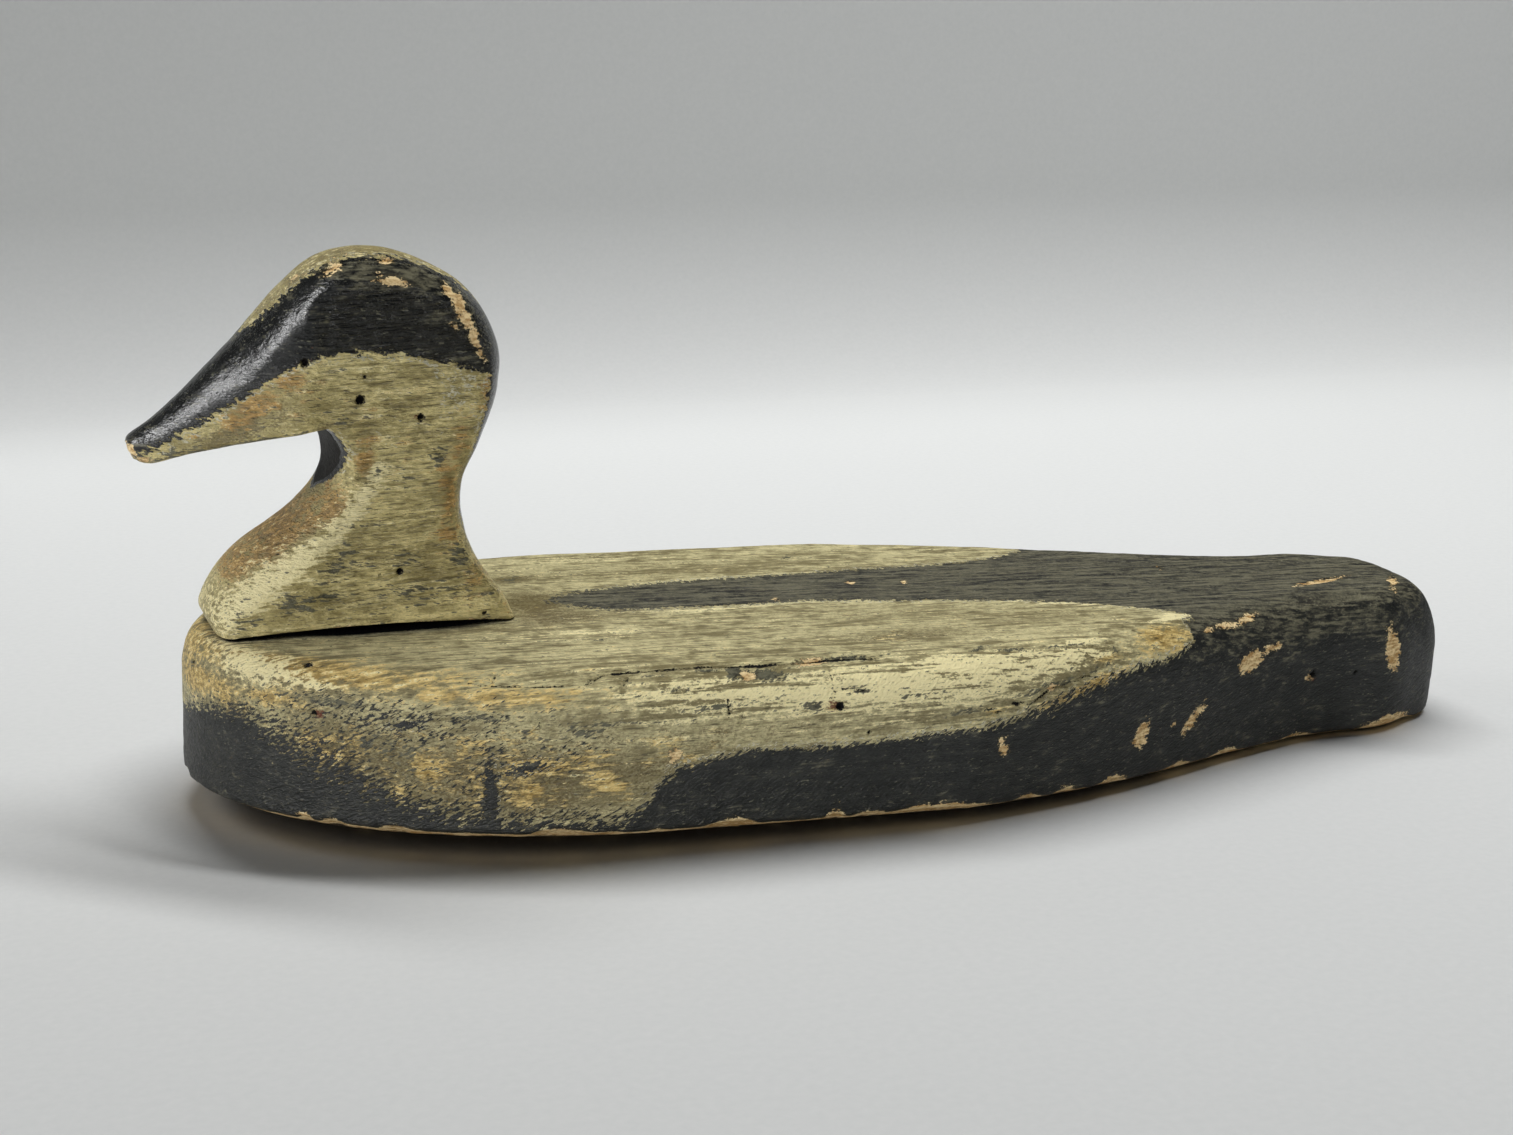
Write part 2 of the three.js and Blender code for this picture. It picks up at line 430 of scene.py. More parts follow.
def leaning(a, b, at, up, long, tall, lean=0):
    """Distances from a mark's middle along and across it, as shares of its half length and half height."""
    c, s = math.cos(math.radians(lean)), math.sin(math.radians(lean))
    return ((a - at) * c + (b - up) * s) / long, ((b - up) * c - (a - at) * s) / tall


def wash(a, b, marks):
    """Soft touches of colour. Each mark is its middle, half length, half height, strength, and any lean."""
    total = 0 * a
    for at, up, long, tall, strength, *lean in marks:
        p, q = leaning(a, b, at, up, long, tall, *lean)
        total = np.maximum(total, strength * np.exp(-p * p - q * q))
    return total


# What stands for a distance inside a mark far away from it, and a place that is far from all marks
outside = -50.0
out_of_reach = 1e3


def spots(a, b, marks):
    """How far inside a mark a point lies, in millimetres. Each mark is its middle, half length, half height,
    and any lean."""
    deepest = 0 * a + outside
    for at, up, long, tall, *lean in marks:
        p, q = leaning(a, b, at, up, long, tall, *lean)
        deepest = np.maximum(deepest, min(long, tall) * (1 - np.hypot(p, q)))
    return deepest


def line_distance(a, b, points):
    """Distance from a line drawn through these points."""
    nearest = 0 * a + out_of_reach
    for (a0, b0), (a1, b1) in itertools.pairwise(points):
        da, db = a1 - a0, b1 - b0
        t = np.clip(((a - a0) * da + (b - b0) * db) / (da * da + db * db), 0, 1)
        nearest = np.minimum(nearest, np.hypot(a - a0 - t * da, b - b0 - t * db))
    return nearest


def read_off(points, at):
    """The height of a line given by its corners."""
    return np.interp(at, *np.transpose(points))


# A hole's reach over the mesh, its floor and its lip, as shares of its radius, and how tightly it draws the
# mesh together
hole_reach, hole_floor, hole_lip = 2.6, 0.55, 1.1
hole_drawing = 0.45


def sink_holes(rings, normal, a, b, holes):
    """Sinks small round holes, each its middle, radius and depth, and draws the mesh together round them.
    Gives the distance inside their rims."""
    rim = 0 * a + outside
    for at, up, radius, depth in holes:
        middle = np.unravel_index(np.argmin(np.hypot(a - at, b - up)), a.shape)
        offset = rings - rings[middle]
        distance = np.linalg.norm(offset, axis=-1)
        drawn = between(hole_drawing, 1, ease(0, hole_reach * radius, distance))
        rings[:] = rings[middle] + offset * drawn[..., None]
        distance *= drawn
        sunk = depth * (1 - ease(hole_floor * radius, hole_lip * radius, distance))
        rings -= normal * sunk[..., None]
        rim = np.maximum(rim, radius - distance)
    return rim


def skinned(name, rings, low, high, **fields):
    """A closed mesh over a stack of rings in metres, kept between two corners, with a value of each field
    at every point. The two end rings are filled like ladders."""
    count = rings.shape[1]
    half = count // 2
    here = np.arange(count)
    beyond = (here + 1) % count
    base = np.arange(len(rings) - 1)[:, None] * count
    walls = np.stack([base + here, base + beyond, base + count + beyond, base + count + here], -1)
    rung = np.arange(half)
    across, next_across = (count - rung) % count, count - rung - 1
    last = (len(rings) - 1) * count
    first_end = np.stack([rung, across, next_across, rung + 1], -1)
    last_end = np.stack([rung, rung + 1, next_across, across], -1) + last
    quads = np.vstack([walls.reshape(-1, 4), first_end, last_end])
    faces = [list(dict.fromkeys(quad)) for quad in quads.tolist()]
    mesh = bpy.data.meshes.new(name)
    inside = np.clip(rings.reshape(-1, 3), np.array(low), np.array(high))
    mesh.from_pydata(inside.tolist(), [], faces)
    mesh.shade_smooth()
    for field, values in fields.items():
        held = mesh.attributes.new(field, "FLOAT", "POINT")
        held.data.foreach_set("value", np.asarray(values, np.float32).ravel())
    piece = put_in_scene(name, mesh)
    lit_pieces.objects.link(piece)
    return piece


body_rings, lower_edge, edge_run = plank_rings()
girth = grown(body_rings)
girth = girth - girth[lower_edge]
run = np.broadcast_to(edge_run, girth.shape)
station, abreast, height = np.moveaxis(body_rings.copy(), -1, 0)
top_begins = (44, 49)
on_top = ease(*top_begins, height)
upper_face = on_top > 0.5
near_side = run > 0
body_normal = ring_normals(body_rings)

# Where the black side paint ends, as [distance along the edge from the bow, girth above the lower edge]
near_black = [
    (0, 24), (10, 26), (20, 29), (35, 32), (50, 34), (62, 31), (75, 27), (88, 23), (98, 18), (108, 13),
    (120, 9), (135, 7), (175, 5), (184, 9), (190, 18), (195, 22), (205, 24), (215, 26.5), (245, 26),
    (270, 27), (300, 29), (312, 30.5), (322, 33), (335, 36), (345, 38.5), (355, 40), (365, 41.5),
    (380, 42.5), (393, 45), (397, 48), (398, 56), (408, 58.5), (410, 66), (412, 300),
]
far_black = [
    (0, 22), (20, 30), (50, 36), (80, 33), (110, 26), (150, 22), (200, 24), (250, 26), (290, 30), (340, 37),
    (370, 45), (384, 56), (388, 300),
]

# How widely that edge is broken up
near_fray = [
    (0, 2), (20, 4), (45, 6), (60, 10), (75, 14), (92, 12), (105, 8), (130, 7), (160, 6), (178, 6), (186, 4),
    (192, 3), (200, 1.7), (300, 1.8), (320, 4), (345, 3.5), (360, 2), (395, 2), (553, 1.5),
]
far_fray, top_fray, stripe_start_fray = 4, 2.4, 3
stripe_start = (130, 175)
bar_crispness = 0.85

# The black stripe down the back, which widens into the tail: its two edges, as [station, distance abreast]
stripe_near = [
    (110, 40), (127, 8), (135, 1), (142, -5), (150, -8.5), (200, -9), (220, -8.5), (240, -11), (260, -14.5),
    (280, -18.5), (300, -23), (315, -27), (325, -33), (335, -39), (345, -46), (350, -52), (352, -200),
]
stripe_far = [
    (110, -40), (127, 8), (135, 17), (150, 22), (170, 27), (210, 30), (250, 34), (290, 38), (300, 41),
    (310, 44), (320, 49), (330, 55), (336, 62), (337, 200),
]

side_black = np.where(near_side, read_off(near_black, run), read_off(far_black, -run)) - girth
top_black = np.minimum(abreast - read_off(stripe_near, station), read_off(stripe_far, station) - abreast)

# The upright stroke of black on the bow's side and two touches beside it
brush_bar = spots(run, girth, [(135.5, 12.5, 2.6, 11.5), (147, 24, 7, 1.6, 14), (108, 36.5, 6, 1.3)])
black = np.maximum(np.maximum(side_black, brush_bar), np.where(upper_face, top_black, outside))
fray = between(np.where(near_side, read_off(near_fray, run), far_fray), top_fray, on_top)
fray += stripe_start_fray * on_top * (1 - ease(*stripe_start, station))
fray *= 1 - bar_crispness * ease(-3, 0.5, brush_bar)


def touched(side, top):
    """Soft touches of colour on the plank's side and shoulder, and on its top."""
    return np.maximum(wash(run, girth, side), on_top * wash(station, abreast, top))


# The coats under the black, where each shows: warm ochre, brown, older slate, and pale cream
# that is partly worn paint and partly painted highlight along the near shoulder and bow
ochre = wash(run, girth, [
    (70, 52, 60, 9, 1), (10, 50, 34, 13, 0.8), (140, 47, 34, 6, 0.75), (125, 24, 50, 15, 0.4, 6),
    (22, 39, 30, 6, 1.05), (8, 46, 16, 9, 0.9), (60, 40, 18, 3, 0.85), (85, 51, 30, 5, 0.8),
    (120, 47, 14, 5, 0.85), (137, 46, 10, 4, 0.7), (95, 50, 14, 4, 0.5), (85, 28, 20, 9, 0.55),
    (116, 24, 8, 6, 1), (132, 17, 10, 9, 0.6), (150, 24, 14, 5, 0.75, 8), (148, 15, 9, 5, 0.95),
    (172, 17, 9, 6, 0.85), (165, 26, 12, 4, 0.6, 10), (190, 28, 8, 5, 0.45), (108, 14, 9, 5, 0.6),
    (383, 50, 15, 6.5, 1.1), (352, 47, 11, 3, 0.8), (340, 37.5, 22, 2.4, 1.1, 13), (246, 39.5, 4, 1.6, 0.9),
    (198, 25, 5, 3, 0.6), (304, 34, 10, 2, 0.7, 5), (-60, 38, 24, 5, 0.9), (-110, 30, 22, 5, 0.7),
    (-180, 28, 20, 4, 0.6), (-330, 42, 20, 4, 0.9, 12), (-240, 34, 30, 3, 0.5, 4),
])
umber = touched([
    (142, 16, 46, 14, 1), (128, 21, 95, 15, 0.95), (220, 33, 45, 6, 0.5), (84, 20, 26, 20, 1.1),
    (45, 33, 20, 6, 0.8), (120, 34, 30, 6, 0.5), (170, 33, 22, 4, 0.55, 8), (30, 41, 20, 3, 0.6),
    (78, 37, 7, 5, 0.5), (190, 36, 14, 3, 0.35, 5), (-150, 40, 60, 6, 0.4), (15, 52, 16, 5, 0.5),
], [
    (122, 0, 16, 30, 0.95), (132, -14, 14, 9, 0.8), (120, 42, 12, 8, 0.8), (240, -58, 42, 10, 0.55),
    (300, -45, 40, 12, 0.3), (180, 48, 50, 14, 0.35), (340, 5, 50, 30, 0.7), (400, 8, 40, 22, 0.85),
    (440, 5, 30, 14, 0.85), (30, 5, 30, 30, 0.3), (250, -30, 60, 14, 0.35), (265, -62, 30, 7, 0.35),
])
slate = touched([
    (85, 41.5, 26, 1.8, 0.75, -2), (98, 29, 24, 8, 0.5, -10), (112, 22, 40, 12, 0.3),
    (226, 52.5, 9, 3.6, 0.95), (216, 54.5, 3, 4, 0.95), (240, 40, 4, 1.8, 0.95), (210, 42, 16, 1.5, 0.6, 4),
    (293, 35, 10, 1.5, 0.65, 4), (318, 57, 8, 1.4, 0.85, -4), (338, 54.5, 10, 1.2, 0.7, -5),
    (347, 44, 9, 1.5, 0.65, 8), (358, 50, 3, 3, 0.6), (328, 40.5, 18, 1.4, 0.7, 8), (116, 36.5, 4, 1.4, 0.8),
    (132, 40, 16, 2, 0.7, 4), (164, 37, 20, 5, 0.42, 6), (256, 60, 13, 1.5, 0.95),
    (255, 45, 6, 0.9, 0.8, -10), (196, 48.5, 5, 1, 0.85), (206, 56, 4, 1.6, 0.7), (280, 42, 12, 1.2, 0.5, 2),
    (186, 54, 10, 3, 0.35), (305, 60, 6, 2, 0.8, 20), (70, 42.5, 10, 1, 0.5), (18, 42.5, 2.5, 1.6, 0.8),
    (-100, 44, 30, 2, 0.6), (-220, 50, 16, 3, 0.7), (-300, 52, 20, 2, 0.6), (-170, 38, 20, 2, 0.5),
], [
    (121, 42, 4, 5, 0.7), (135, -46, 4, 1.5, 0.6), (232, 58, 9, 1.8, 0.6, 55), (180, -48, 6, 3, 0.35),
])
# The pale on the near shoulder and the bow is mostly painted highlight, the rest worn pale paint
pale = touched([
    (52, 49, 18, 5, 1.2, -4), (72, 47, 16, 2.6, 0.8, -2), (262, 45, 60, 9, 1), (300, 50, 44, 8, 1.05),
    (212, 45, 32, 8, 0.85), (330, 50, 30, 6, 0.9), (45, 54, 34, 6, 0.65), (255, 50, 26, 3.4, 0.7),
    (205, 50, 20, 2.4, 0.7), (398, 60.5, 14, 2.2, 1.1), (280, 41.5, 5, 1, 0.9), (290, 44, 30, 1.2, 0.7, 1),
    (215, 50, 7, 1.5, 0.8), (345, 56, 18, 2, 0.6), (-150, 50, 90, 4, 0.6), (225, 46.5, 12, 1.6, 0.7),
    (404, 52, 5, 0.8, 1),
], [
    (345, -51, 8, 3, 0.9), (312, -29, 20, 3, 0.7, -22), (175, -13, 30, 3, 0.5), (150, 68, 30, 4, 0.5),
    (310, 40, 20, 3, 0.5, 15), (125, -35, 20, 8, 0.4), (246, 35.5, 3, 1, 0.6),
])

# Bare wood: chips through the paint, and the worn lower edge with the scars along it
side_chips = [
    (367.5, 16.5, 4.7, 3.1, 68), (393.5, 18, 6.8, 2.1, 42), (308, 20, 2.2, 1.8), (306, 23.6, 1.1, 0.8),
    (422, 35, 6.6, 3.4, 18), (432, 38, 4, 1.4, 6), (415, 50.3, 4, 1.5, -8), (428.5, 51.9, 4.6, 1.7, 12),
    (407.5, 49.8, 2.2, 0.9), (492, 31.5, 9, 3.6, 98), (455, 23.8, 1.9, 1.2), (219.5, 53, 2.4, 2.4),
    (243, 58.5, 5.2, 2.6, 8), (194, 26.5, 1.6, 2.2), (383, 17.5, 0.9, 1.1), (327, 39.5, 2.6, 0.9, 10),
    (-240, 47, 4, 2), (-350, 20, 3, 2, 30), (-430, 38, 6, 2.5, 60), (-505, 33, 3.6, 8, 10),
    (-120, 12, 2, 1.4),
]
top_chips = [
    (424, -14, 12.5, 2, 22), (452, -18, 9, 1.3, 62), (243.6, 15, 1.3, 2.4), (263.5, 12, 0.7, 2.6, -12),
    (208.5, -4, 0.8, 2.2), (371, 16, 0.9, 2),
]
edge_scars = [
    (8, 0, 5, 3.2), (73, 1, 2.4, 3), (83, 0, 3, 2.4), (104, 0, 4, 1.8), (158, 0, 8, 3), (214, 0, 7, 3.2),
    (249, 0, 2.6, 4.6), (262, 0, 5, 2), (285, 0, 15, 3), (319, 0, 3.4, 2.6), (335, 0, 4, 2.8),
    (356, 0, 6, 3.2), (389, 0, 5, 2.8), (414, 0, 6, 3), (452, 0, 6, 2.2), (496, 0, 15, 5.6), (-80, 0, 6, 3),
    (-200, 0, 12, 3), (-310, 0, 9, 3.4), (-480, 0, 14, 5),
]
top_chipped = np.where(upper_face, spots(station, abreast, top_chips), outside)
chips = np.maximum(spots(run, girth, side_chips), top_chipped)

# Each unevenness is its depth, the size of its lumps and its seed
edge_height, edge_unevenness = -1, (0.9, 7, 5)
edge_waves = lumps(np.stack([run, 0 * run, 0 * run], -1), *edge_unevenness)
scars = spots(run, girth, edge_scars)
scarred_edge = np.where(girth > edge_height, scars, outside)
bare = np.maximum(chips, np.maximum(edge_waves + edge_height - girth, scarred_edge))
# Below the lower edge the underside is dark aged brown: painted shade under the hull
shade_below_edge = (-1.2, -3.5)
umber = np.maximum(umber, ease(*shade_below_edge, girth))
# The upper faces are rubbed and their black is lighter grey: partly wear, partly painted sheen
top_dulled = 0.85
tail_rubs = [(455, 46, 60, 12, 0.6), (-455, 46, 60, 12, 0.6)]
dulled = np.maximum(top_dulled * on_top, wash(run, girth, tail_rubs))

# Drying cracks and shot holes
cracks = [
    ([(112, 52), (125, 52.6), (140, 51.6), (158, 52), (166, 52.4), (172, 57)], 0.34),
    ([(172, 57.5), (186, 59), (206, 59.2), (226, 58), (246, 59.5), (266, 59)], 0.62),
    ([(135, 53), (136, 56), (136.4, 60)], 0.25), ([(178, 49), (178.6, 52), (180, 55)], 0.35),
    ([(211, 37), (212, 40), (211.8, 44)], 0.35), ([(247, 42), (248.4, 46), (247.6, 52)], 0.25),
    ([(216, 35), (216.3, 39)], 0.3), ([(300, 35.4), (306, 33)], 0.3),
    ([(310, 36), (318, 35), (325, 39), (333, 40.2), (347, 42.5)], 0.35), ([(250, 45.6), (259, 44.2)], 0.45),
    ([(150, 40), (151, 37.5)], 0.5), ([(-120, 58), (-180, 59), (-260, 58.5)], 0.5),
]
crack_unevenness = (0.35, 3.5, 18)
crack = 0 * girth + outside
for points, half_width in cracks:
    crack = np.maximum(crack, half_width - line_distance(run, girth, points))
crack += lumps(body_rings, *crack_unevenness)
body_holes = [
    (71, 54, 1.5, 2.4), (77.5, 37.5, 1.1, 2.2), (249, 40, 1.5, 2.2), (258.5, 30, 0.6, 1.2),
    (456.5, 24.6, 1.3, 2), (476, 24, 0.8, 1.6), (18, 43, 0.9, 1.4), (-190, 33, 1.2, 2), (-385, 30, 1.1, 2),
]
rust = wash(run, girth, [(247.5, 39.8, 3.2, 2, 1), (79.5, 37.2, 2.2, 1.8, 0.9), (456, 23.4, 2.6, 1.6, 0.6)])

# Relief: the hand-pared side and shoulder, raised grain on top, chips, cracks, a hollow under the head's near
# side, and a worn lower edge. Each row of lumps is where it lies and its unevenness.
body_lumps = [
    (1, 0.34, (75, 60, 17), 11), (1, 0.16, (24, 20, 8), 12), (1 - on_top, 0.12, (8, 6, 3), 13),
    (1, 0.07, (3, 3, 2), 14), (on_top, 0.13, (60, 2.6, 9), 15), (on_top, 0.1, (30, 9, 9), 16),
]
chip_depth, chip_unevenness = 0.42, (0.5, 1.8, 17)
crack_depth, crack_flare = 0.9, 0.5
scar_depth, edge_wear_depth, scar_height = 1.2, 0.5, 2.4
dish_middle, dish_reach, dish_depth = (74.0, -20.0), (40.0, 12.0), 1.2
skin_inset, underside_inset = 0.45, 0.15

relief = sum(where * lumps(body_rings, *row) for where, *row in body_lumps)
relief -= chip_depth * ease(-0.4, 0.5, chips + lumps(body_rings, *chip_unevenness))
crack_walls = np.exp(-np.maximum(-crack, 0) ** 2 / crack_flare) * ease(-2.5, -0.5, crack)
relief -= crack_depth * crack_walls
scarred = scar_depth * ease(-1.4, 1.6, scars) + edge_wear_depth * ease(0.2, 0.9, edge_waves)
relief -= scarred * np.exp(-(girth / scar_height) ** 2)
dish = np.hypot((station - dish_middle[0]) / dish_reach[0], (abreast - dish_middle[1]) / dish_reach[1])
relief -= dish_depth * on_top * (1 - ease(0.4, 1.0, dish))
below_edge = ease(0, -4, girth)
relief = relief * (1 - below_edge) - underside_inset * below_edge - skin_inset
past_flat_land = ease(-1, 1, girth - girth[under_steps])
body_rings += body_normal * (relief * past_flat_land)[..., None]
pit = np.maximum(crack, sink_holes(body_rings, body_normal, run, girth, body_holes))

# The head's place on the plank, where its joint is painted near black: painted shade between the two pieces
head_yaw = math.radians(5.66)
head_station, head_offset = 60.0, 1.8
joint_half_length, joint_half_width = 47.5, 20.5
yaw_cos, yaw_sin = math.cos(head_yaw), math.sin(head_yaw)
from_head, from_side = station - head_station, abreast - head_offset
joint = np.minimum(
    joint_half_length - np.abs(from_head * yaw_cos + from_side * yaw_sin),
    joint_half_width - np.abs(from_side * yaw_cos - from_head * yaw_sin),
)
pit = np.maximum(pit, np.where(upper_face, joint, outside))

body = skinned(
    "body_plank", stand(body_rings), *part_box("body"), black=black, fray=fray, ochre=ochre, umber=umber,
    slate=slate, pale=pale, dulled=dulled, bare=bare, pit=pit, rust=rust,
)


def worn_paint(name, colours, finish, dab_size, dab_lean, smoothness, sawn_cheeks=False):
    """Old layered paint. The mesh's own values say where each coat lies, and random clouds fray its edges.
    finish is the roughness of the pale coats, that of the black, and the strength of the gloss. smoothness
    is how far the black fills the brush marks."""
    material, tree, surface = new_paint(name)

    def field(title):
        """What the mesh says under this name."""
        return add(tree, "Attribute", attribute_name=title).outputs["Fac"]

    def plus(total, parts):
        """total with each part added as strongly as its number says."""
        for part, strength in parts:
            total = calc(tree, "MULTIPLY_ADD", part, strength, total)
        return total

    def frayed(value, clouds):
        """value with random clouds added, each swinging about its strength to either side."""
        for cloud, strength in clouds:
            swing = plus(-cloud_swing / 2, [(cloud, cloud_swing)])
            value = plus(value, [(swing, strength)])
        return value

    def patch(value, clouds, low, high, most=1.0):
        """The share of a coat that shows: none where the frayed value is low, most of it where it is high."""
        return cut(tree, frayed(value, clouds), low, high, most)

    def times(*values):
        """Several shares multiplied together."""
        total = values[0]
        for value in values[1:]:
            total = calc(tree, "MULTIPLY", total, value)
        return total

    def tone(title):
        """A coat's one colour."""
        return shade(colours[title])

    def mixed(title, share):
        """The colour between a coat's dark tone and its light one."""
        return coat(tree, share, *map(shade, colours[title]))

    # The clouds, by the size of their lumps: most are drawn out along the grain of the wood
    cloud_swing = 6.0
    grain = speckle(tree, (24, 1.8, 1.3), detail=4, roughness=0.6)
    hairs = speckle(tree, (6, 0.8, 0.5), detail=3)
    broad = speckle(tree, (60, 16, 12), detail=2)
    mottle = speckle(tree, (8, 7, 5), detail=5, roughness=0.65)
    flakes = speckle(tree, (3.4, 2.4, 1.5), detail=4, roughness=0.68)
    dabs = speckle(tree, dab_size, lean=dab_lean, detail=3, roughness=0.6)
    dust = speckle(tree, (0.9, 0.9, 0.7), detail=2, roughness=0.6)
    umber, dulled, fray = field("umber"), field("dulled"), field("fray")
    even = 0.5

    # Cream, stained and thin in places, with ochre and older slate coats showing
    thin = patch(even, [(grain, 0.4), (mottle, 0.35), (broad, 0.2), (flakes, 0.2)], 0.0, 1.0)
    stained = patch(umber, [(mottle, 0.3), (grain, 0.4), (dust, 0.2)], 0.3, 0.95, 0.85)
    gilt = patch(even, [(grain, 0.45), (flakes, 0.25)], 0.15, 0.85)
    yellowed = patch(field("ochre"), [(mottle, 0.3), (grain, 0.35), (flakes, 0.25)], 0.3, 0.8, 0.9)
    hairlines = cut(tree, hairs, 0.58, 0.66, 0.75)
    specks = patch(0.0, [(flakes, 0.4), (dust, 0.4)], 0.5, 0.8, 0.6)
    # Pale cream: worn paint, and painted highlight on the shoulders and the breast ridge
    pale_and_highlight_share = patch(field("pale"), [(flakes, 0.3), (grain, 0.5), (dust, 0.15)], 0.35, 0.7, 0.9)
    worn = mixed("cream", thin)
    worn = coat(tree, stained, worn, tone("umber"))
    worn = coat(tree, yellowed, worn, mixed("ochre", gilt))
    worn = coat(tree, hairlines, worn, tone("grime_and_shade"))
    worn = coat(tree, specks, worn, tone("grime_and_shade"))
    worn = coat(tree, pale_and_highlight_share, worn, tone("pale"))
    # Dark lines along the saw marks on the cheeks: painted shade in their grooves
    if sawn_cheeks:
        lines = speckle(tree, (11, 11, 1.0), lean=-3, detail=3)
        sawn = field("sawn")
        worn = coat(tree, times(cut(tree, lines, 0.57, 0.68, 0.6), sawn), worn, tone("grime_and_shade"))
    slated = patch(field("slate"), [(dabs, 0.3), (grain, 0.35), (flakes, 0.3)], 0.4, 0.7)
    worn = coat(tree, slated, worn, mixed("slate", cut(tree, flakes, 0.4, 0.6)))

    # Black, ragged at its edges, where specks of the pale ground show, and lighter grey on the upper faces,
    # partly rubbed wear and partly painted sheen
    edge = frayed(field("black"), [(dabs, fray), (flakes, 0.7), (dust, 0.45)])
    blackened = cut(tree, edge, -0.2, 0.2)
    crisp = cut(tree, fray, 5, 3)
    crumbs = patch(0.0, [(dust, 0.5), (dabs, 0.4)], 0.1, 0.3)
    sooted = patch(even, [(mottle, 0.35), (grain, 0.25), (dust, 0.2)], 0.1, 0.9)
    streaked = patch(even, [(flakes, 0.3), (dust, 0.15), (grain, 0.5)], 0.0, 1.0)
    rubbed_and_sheen = patch(dulled, [(mottle, 0.35), (flakes, 0.2), (grain, 0.3)], 0.2, 0.9)
    scuffed = patch(plus(0.1, [(dulled, 0.1)]), [(dabs, 0.35), (hairs, 0.4), (dust, 0.2)], 0.5, 0.8, 0.45)
    worn = coat(tree, times(cut(tree, edge, -2.2, -0.5), crisp, crumbs), worn, tone("ground"))
    soot = coat(tree, rubbed_and_sheen, mixed("black", sooted), mixed("rubbed_and_sheen", streaked))
    soot = coat(tree, scuffed, soot, tone("scuff"))
    worn = coat(tree, blackened, worn, soot)

    # Bare wood in the chips with dirt round them, darker old wood that under the hull is painted shade, rust
    # by the shot holes, and near-black cracks and holes, and pits that are painted shade in the head's joint
    # and throat
    bare = frayed(field("bare"), [(flakes, 0.9), (dust, 0.5), (mottle, 0.7)])
    stripped = cut(tree, bare, -0.05, 0.18)
    figured = patch(even, [(grain, 0.4), (flakes, 0.25), (dust, 0.15)], 0.1, 0.9)
    aged_and_shade = patch(umber, [(mottle, 0.15)], 0.75, 0.95)
    rusty = patch(field("rust"), [(dust, 0.25), (flakes, 0.2)], 0.35, 0.75, 0.9)
    sunk = patch(field("pit"), [(dust, 0.3), (flakes, 0.3)], -0.15, 0.2)
    worn = coat(tree, cut(tree, bare, -0.75, -0.1, 0.7), worn, tone("grime_and_shade"))
    worn = coat(tree, stripped, worn, coat(tree, aged_and_shade, mixed("wood", figured), tone("aged_and_shade")))
    worn = coat(tree, rusty, worn, tone("rust"))
    worn = coat(tree, sunk, worn, tone("pit"))
    feed(tree, surface.inputs["Base Color"], worn)

    # The black keeps its gloss, and rubbing, bare wood and the near-black pits take it away
    dull, glossy, gloss = finish
    bare_roughness, rubbed_roughness, pit_roughness = 0.85, 0.3, 0.6
    smoothest, roughest = 0.2, 0.95
    surface.inputs["Specular IOR Level"].default_value = gloss
    rough = plus(dull, [(blackened, glossy - dull), (stripped, bare_roughness - dull)])
    rough = plus(rough, [(dulled, rubbed_roughness), (sunk, pit_roughness)])
    rough = frayed(rough, [(flakes, 0.06), (dust, 0.06)])
    rough = calc(tree, "MINIMUM", calc(tree, "MAXIMUM", rough, smoothest), roughest)
    feed(tree, surface.inputs["Roughness"], rough)

    # Brush marks and grain, finer than the mesh, with the chips, holes and saw lines sunk in them
    bump_distance = 0.0009
    hollows = [(stripped, -0.4), (sunk, -0.7)]
    if sawn_cheeks:
        hollows.append((times(lines, sawn), -3.6))
    marks = plus(0.0, [(grain, 0.7), (hairs, 0.4), (flakes, 1.2), (dust, 0.35), (dabs, 1.3)])
    skin = plus(times(marks, plus(1.0, [(blackened, -smoothness)])), hollows)
    bump = add(tree, "Bump", {"Strength": 1.0, "Distance": bump_distance, "Height": skin})
    feed(tree, surface.inputs["Normal"], bump.outputs["Normal"])
    return material


# Each coat's colour, or its dark and its light tone
body_colours = {
    "cream": ("867c57", "dad09f"),
    # Pale cream, also the colour of the painted highlights
    "pale": "fbefb9",
    "umber": "5a4c2a",
    "ochre": ("a08240", "ecd088"),
    # Dark grime, also the colour of the painted shade along the saw marks
    "grime_and_shade": "453f2a",
    "slate": ("3d3c30", "6b6955"),
    "black": ("1a1c1a", "2c2d2a"),
    # Lighter grey for the black on the upper faces, partly wear and partly painted sheen
    "rubbed_and_sheen": ("36342d", "706d59"),
    "scuff": "8f8d78",
    "ground": "cfcbb2",
    "wood": ("b58d55", "f6deaa"),
    # Dark old wood, also the painted shade on the underside
    "aged_and_shade": "3a3125",
    "rust": "6a2c12",
    # Near black in cracks and holes, and painted shade in the head's joint, seat and throat
    "pit": "0d0b08",
}
body_finish = (0.55, 0.5, 0.5)
body_dabs, body_dab_lean = (2.8, 2.2, 0.75), -28
body_smoothness = 0.3
body.data.materials.append(
    worn_paint("body_paint", body_colours, body_finish, body_dabs, body_dab_lean, body_smoothness)
)
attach(body, "root")
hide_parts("body")


# Head
# Sawn from a board to its profile, its corners pared away with a knife, and set down on the plank behind
# the bow. The flat cheeks keep the saw's marks, and the cap and bill are glossy black.

seat_gap, seat_arch = 0.3, 1.8
head_half = 23.0

